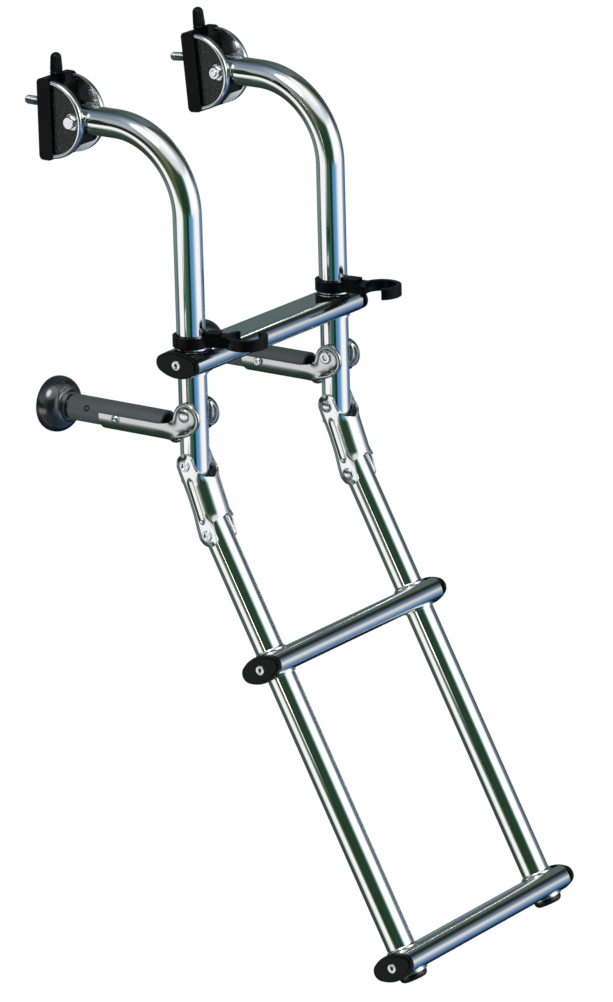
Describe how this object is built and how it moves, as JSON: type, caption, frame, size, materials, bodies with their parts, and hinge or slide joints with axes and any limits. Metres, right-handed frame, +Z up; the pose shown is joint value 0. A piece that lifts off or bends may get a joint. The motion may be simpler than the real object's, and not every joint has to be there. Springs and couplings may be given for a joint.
{
  "type": "swim ladder",
  "caption": "Folding stainless swim ladder for a boat: nylon hinge brackets, two standoff legs with rubber feet, oval steps and double-pivot fold links.",
  "frame": {"origin": "middle of the left bracket's flat back face, level with its pivot bolt", "axes": "+Z up, +Y into the boat out of the bracket's back face, +X from the left stile to the right one"},
  "size_m": [0.257, 0.397, 0.7735],
  "materials": {
    "polished_steel": "mirror-polished stainless tube and pressings",
    "fastener_steel": "bright stainless fasteners",
    "threaded_steel": "threaded stainless stud",
    "black_nylon": "satin moulded black nylon",
    "knob_plastic": "ribbed black nylon knob",
    "hook_plastic": "matt black nylon",
    "leg_plastic": "worn dark grey nylon tube",
    "foot_rubber": "dark moulded rubber",
    "cap_plastic": "black nylon end caps"
  },
  "bodies": {
    "left_bracket": {"left_bracket_base": "black_nylon", "left_bracket_left_cheek": "polished_steel", "left_bracket_right_cheek": "polished_steel", "left_bracket_core": "black_nylon", "left_bracket_bolt": "fastener_steel", "left_mount_stud": "threaded_steel"},
    "left_pin": {"left_release_pin": "knob_plastic"},
    "upper_frame": {"left_upper_stile": "polished_steel", "right_upper_stile": "polished_steel", "top_step": "polished_steel", "top_step_caps": "cap_plastic"},
    "right_bracket": {"right_bracket_base": "black_nylon", "right_bracket_left_cheek": "polished_steel", "right_bracket_right_cheek": "polished_steel", "right_bracket_core": "black_nylon", "right_bracket_bolt": "fastener_steel", "right_mount_stud": "threaded_steel"},
    "right_pin": {"right_release_pin": "knob_plastic"},
    "left_hook": {"left_stile_hook": "hook_plastic"},
    "right_hook": {"right_stile_hook": "hook_plastic"},
    "left_leg": {"left_leg_channel": "polished_steel", "left_leg_tube": "leg_plastic", "left_leg_foot": "foot_rubber", "left_leg_bolt": "fastener_steel", "left_leg_screw": "fastener_steel"},
    "right_leg": {"right_leg_channel": "polished_steel", "right_leg_tube": "leg_plastic", "right_leg_foot": "foot_rubber", "right_leg_bolt": "fastener_steel", "right_leg_screw": "fastener_steel"},
    "fold_links": {"left_fold_link": "polished_steel", "right_fold_link": "polished_steel", "left_upper_rivet": "fastener_steel", "right_upper_rivet": "fastener_steel", "left_lower_rivet": "fastener_steel", "right_lower_rivet": "fastener_steel"},
    "lower_frame": {"left_lower_stile": "polished_steel", "right_lower_stile": "polished_steel", "middle_step": "polished_steel", "middle_step_caps": "cap_plastic", "bottom_step": "polished_steel", "bottom_step_caps": "cap_plastic", "left_foot_plug": "cap_plastic", "right_foot_plug": "cap_plastic"}
  },
  "joints": [
    {"name": "ladder_swing", "type": "hinge", "parent": "left_bracket", "child": "upper_frame", "pos_m": [0, -0.033, 0], "axis": [-1, 0, 0], "range_deg": [0, 90]},
    {"name": "left_pin_pull", "type": "slide", "parent": "left_bracket", "child": "left_pin", "axis": [0, 0, 1], "range_m": [0, 0.008], "stiffness_N_per_m": 500, "springref_m": -0.006},
    {"name": "right_bracket_turn", "type": "hinge", "parent": "upper_frame", "child": "right_bracket", "pos_m": [0.208, -0.033, 0], "axis": [1, 0, 0], "range_deg": [0, 95.2]},
    {"name": "right_pin_pull", "type": "slide", "parent": "right_bracket", "child": "right_pin", "axis": [0, 0.0906, 0.9959], "range_m": [0, 0.008], "stiffness_N_per_m": 500, "springref_m": -0.006},
    {"name": "left_hook_swivel", "type": "hinge", "parent": "upper_frame", "child": "left_hook", "pos_m": [0, -0.141, -0.17925], "axis": [0, 0, -1], "range_deg": [0, 125]},
    {"name": "right_hook_swivel", "type": "hinge", "parent": "upper_frame", "child": "right_hook", "pos_m": [0.208, -0.141, -0.17925], "axis": [0, 0, 1], "range_deg": [-5, 95]},
    {"name": "left_leg_fold", "type": "hinge", "parent": "upper_frame", "child": "left_leg", "pos_m": [0, -0.141, -0.243], "axis": [1, 0, 0], "range_deg": [0, 58]},
    {"name": "right_leg_fold", "type": "hinge", "parent": "upper_frame", "child": "right_leg", "pos_m": [0.208, -0.141, -0.243], "axis": [1, 0, 0], "range_deg": [0, 58]},
    {"name": "link_fold", "type": "hinge", "parent": "upper_frame", "child": "fold_links", "pos_m": [0.104, -0.141, -0.2875], "axis": [-1, 0, 0], "range_deg": [-20, 79]},
    {"name": "section_fold", "type": "hinge", "parent": "fold_links", "child": "lower_frame", "pos_m": [0.104, -0.16238, -0.34623], "axis": [-1, 0, 0], "range_deg": [-8, 81]}
  ]
}
